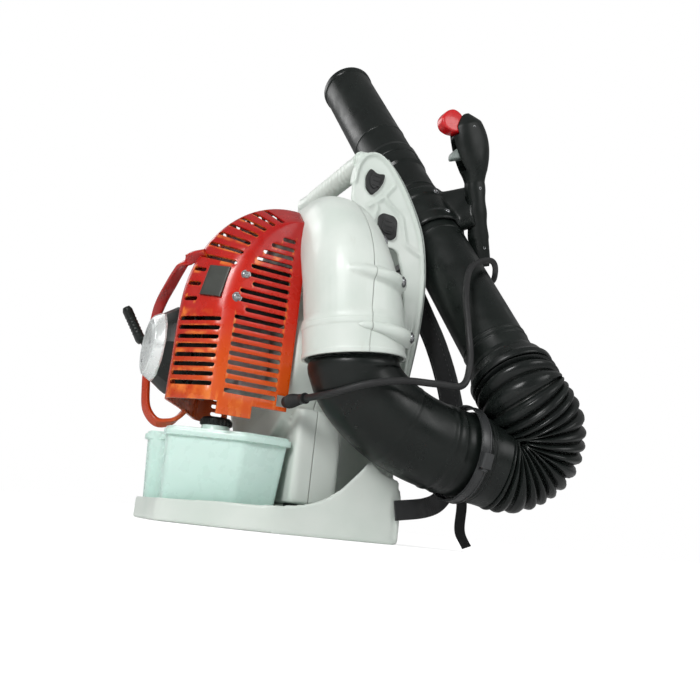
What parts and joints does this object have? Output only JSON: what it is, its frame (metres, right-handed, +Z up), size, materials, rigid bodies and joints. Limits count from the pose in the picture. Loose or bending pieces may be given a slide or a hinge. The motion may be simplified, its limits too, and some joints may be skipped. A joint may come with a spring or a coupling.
{
  "type": "backpack leaf blower",
  "caption": "Petrol backpack leaf blower with back plate, fan, slotted engine shroud, fuel tank, pleated hose and hand-held blow tube.",
  "frame": {"origin": "on the underside of the base, below the fan's axis", "axes": "+Z up along the standing machine, +X the wearer's right, +Y forward, towards the wearer's back"},
  "size_m": [0.4921, 0.5477, 0.8263],
  "materials": {
    "shell": "semi-gloss moulded housing plastic, pale grey-white",
    "orange": "gloss moulded plastic, red above shading to orange below",
    "black": "satin black moulded plastic",
    "rubber": "black rubber",
    "tank": "translucent blow-moulded tank plastic, pale mint",
    "metal": "as-cast aluminium",
    "steel": "bright metal",
    "grey": "mid-grey moulded plastic",
    "red": "gloss red moulded plastic",
    "fabric": "black woven webbing and padding",
    "paper": "folded filter paper"
  },
  "bodies": {
    "frame": {"back_plate": "shell", "fan_housing_rear": "shell", "fan_housing_front": "shell", "outlet_collar": "shell", "engine_shroud": "orange", "starter_guard": "orange", "intake_grille": "black", "starter_cover": "black", "ignition_coil": "black", "air_filter_cover": "black", "control_panel": "black", "elbow": "black", "hose_clamp_elbow": "black", "strap_buckle_right": "black", "strap_buckle_left": "black", "flank_insert_upper_right": "rubber", "flank_insert_lower_right": "rubber", "flank_insert_upper_left": "rubber", "flank_insert_lower_left": "rubber", "buffer_1": "rubber", "buffer_2": "rubber", "buffer_3": "rubber", "buffer_4": "rubber", "plug_boot": "rubber", "pleated_hose": "rubber", "cable_coupler": "rubber", "throttle_cable": "rubber", "fuel_tank": "tank", "crankcase": "metal", "cylinder": "metal", "piston": "metal", "muffler": "metal", "carburettor": "metal", "starter_disc": "steel", "spark_plug": "steel", "starter_rope": "fabric", "back_pad": "fabric", "shoulder_strap_right": "fabric", "shoulder_strap_left": "fabric", "lower_webbing_right": "fabric", "lower_webbing_left": "fabric", "strap_tail_right": "fabric", "strap_tail_left": "fabric", "air_filter_element": "paper"},
    "rotor": {"crankshaft": "metal", "flywheel": "metal", "impeller": "grey"},
    "reel": {"starter_reel": "grey"},
    "grip": {"starter_grip": "black"},
    "fuel_cap": {"fuel_cap": "black"},
    "choke": {"choke_lever": "black"},
    "primer": {"primer_bulb": "rubber"},
    "tube": {"blow_tube": "black", "tube_cuff": "rubber", "nozzle": "black", "handle_bracket": "black", "handle_shell_right": "black", "handle_shell_left": "black"},
    "trigger": {"trigger": "grey"},
    "thumb_lever": {"throttle_lever": "red"}
  },
  "joints": [
    {"name": "tube_swing", "type": "hinge", "parent": "frame", "child": "tube", "pos_m": [0.2, 0.285, 0.108], "axis": [-1, 0, 0], "range_deg": [0, 60], "deforming": ["pleated_hose", "throttle_cable"]},
    {"name": "trigger_pull", "type": "hinge", "parent": "tube", "child": "trigger", "pos_m": [0.114, 0.257, 0.571], "axis": [1, 0, 0], "range_deg": [0, 12], "stiffness_Nm_per_rad": 0.3, "springref_deg": -5.73},
    {"name": "thumb_lever_lift", "type": "hinge", "parent": "tube", "child": "thumb_lever", "pos_m": [0.121, 0.222, 0.6], "axis": [-1, 0, 0], "range_deg": [0, 20]},
    {"name": "starter_pull", "type": "slide", "parent": "frame", "child": "grip", "axis": [0, -0.5501, 0.8351], "range_m": [0, 0.6], "stiffness_N_per_m": 8, "springref_m": -0.05, "deforming": ["starter_rope"]},
    {"name": "reel_spin", "type": "hinge", "parent": "frame", "child": "reel", "pos_m": [0, -0.105, 0.213], "axis": [0, 1, 0], "range_deg": [0, 1240]},
    {"name": "crank_spin", "type": "hinge", "parent": "frame", "child": "rotor", "pos_m": [0, 0, 0.213], "axis": [0, 1, 0], "continuous": true},
    {"name": "fuel_cap_turn", "type": "hinge", "parent": "frame", "child": "fuel_cap", "pos_m": [0.07, -0.062, 0.12], "axis": [0, 0, 1], "range_deg": [0, 90]},
    {"name": "choke_turn", "type": "hinge", "parent": "frame", "child": "choke", "pos_m": [-0.115, -0.01, 0.128], "axis": [-1, 0, 0], "range_deg": [0, 50]},
    {"name": "primer_press", "type": "slide", "parent": "frame", "child": "primer", "axis": [1, 0, 0], "range_m": [0, 0.004], "stiffness_N_per_m": 400, "springref_m": -0.001}
  ],
  "couplings": [
    {"joint": "reel_spin", "follows": "starter_pull", "rad_per_m": 35.7}
  ]
}
